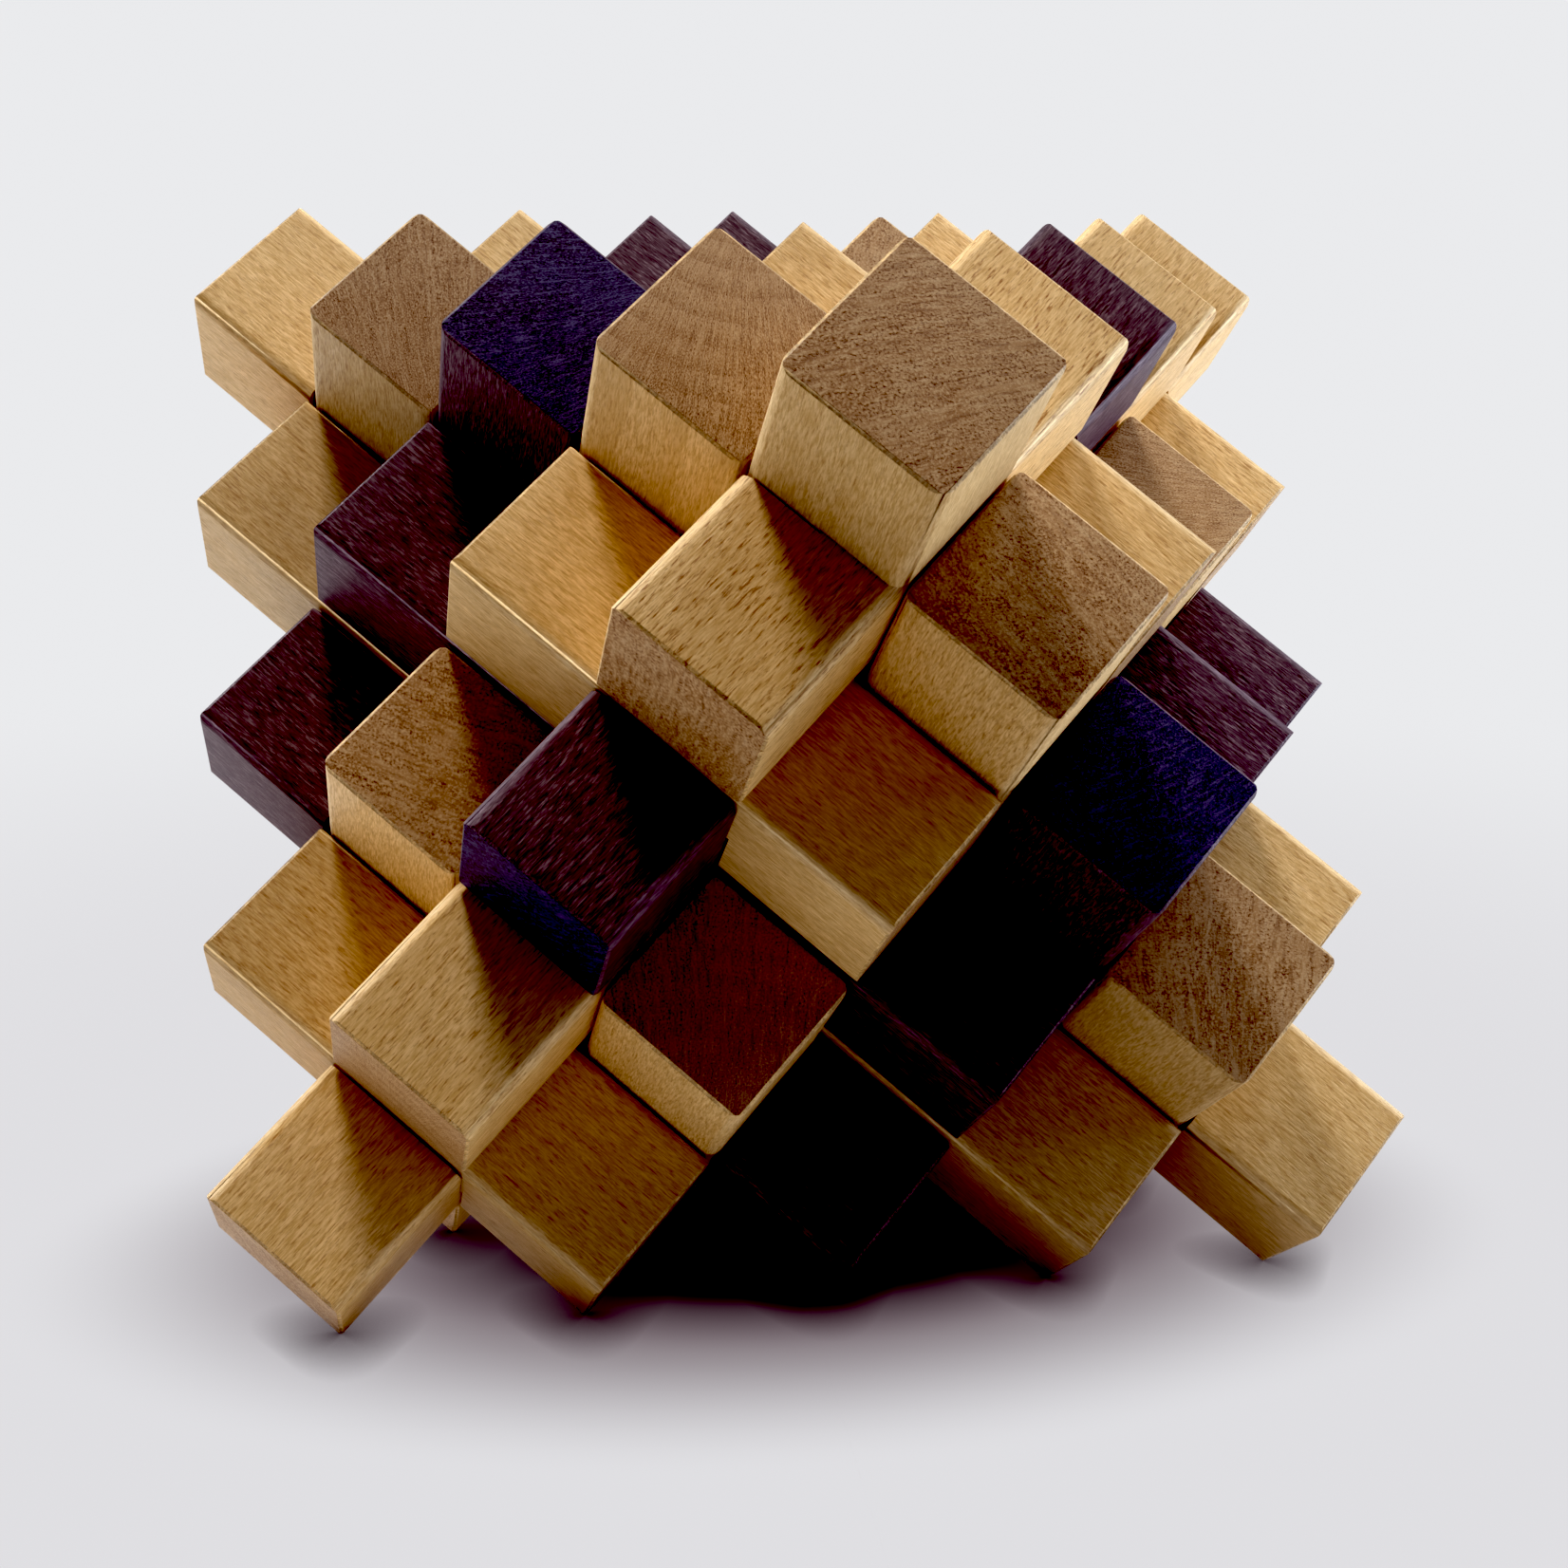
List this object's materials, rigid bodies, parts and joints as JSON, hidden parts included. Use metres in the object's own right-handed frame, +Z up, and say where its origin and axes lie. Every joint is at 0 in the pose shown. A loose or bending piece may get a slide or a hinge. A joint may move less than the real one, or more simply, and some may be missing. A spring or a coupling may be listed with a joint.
{
  "type": "wooden burr puzzle",
  "caption": "Interlocking wooden burr puzzle, solved: square light and dark sticks halved into each other form a stepped octahedron, freed by one sliding key stick.",
  "frame": {"origin": "under the middle of the puzzle, on the surface that it stands on", "axes": "+Z up from the face of the octahedron that the puzzle stands on, +Y along the leaning uprights' longest reach towards the back, +X to the right along the middle rail's and the middle crossbar's common side"},
  "size_m": [0.0854, 0.0984, 0.0762],
  "materials": {
    "light_wood": "satin, lightly oiled beech with short ray flecks and browner end grain",
    "dark_wood": "satin, dark stained hardwood with paler streaks along the grain",
    "key_wood": "satin, lightly oiled beech with browner end grain"
  },
  "bodies": {
    "puzzle": {"rail_centre": "light_wood", "rail_back_1": "light_wood", "rail_back_2": "dark_wood", "rail_back_3": "light_wood", "rail_front_1": "light_wood", "rail_front_2": "dark_wood", "rail_front_3": "light_wood", "rail_upper_back_1": "dark_wood", "rail_upper_back_2": "light_wood", "rail_upper_front_1": "dark_wood", "rail_upper_front_2": "light_wood", "rail_lower_back_1": "dark_wood", "rail_lower_back_2": "light_wood", "rail_lower_front_1": "dark_wood", "rail_lower_front_2": "light_wood", "crossbar_centre": "light_wood", "crossbar_upper_1": "light_wood", "crossbar_upper_2": "dark_wood", "crossbar_upper_3": "light_wood", "crossbar_lower_1": "light_wood", "crossbar_lower_2": "dark_wood", "crossbar_lower_3": "light_wood", "upright_centre": "light_wood", "upright_left_1": "light_wood", "upright_left_2": "dark_wood", "upright_left_3": "light_wood", "upright_right_2": "dark_wood", "upright_right_3": "light_wood", "upright_back_left": "light_wood", "upright_back_right": "light_wood", "upright_front_left": "light_wood", "upright_front_right": "light_wood"},
    "key": {"key_stick": "key_wood"}
  },
  "joints": [
    {"name": "key_slide", "type": "slide", "parent": "puzzle", "child": "key", "axis": [0, -0.8165, 0.5774], "range_m": [0, 0.1]}
  ]
}
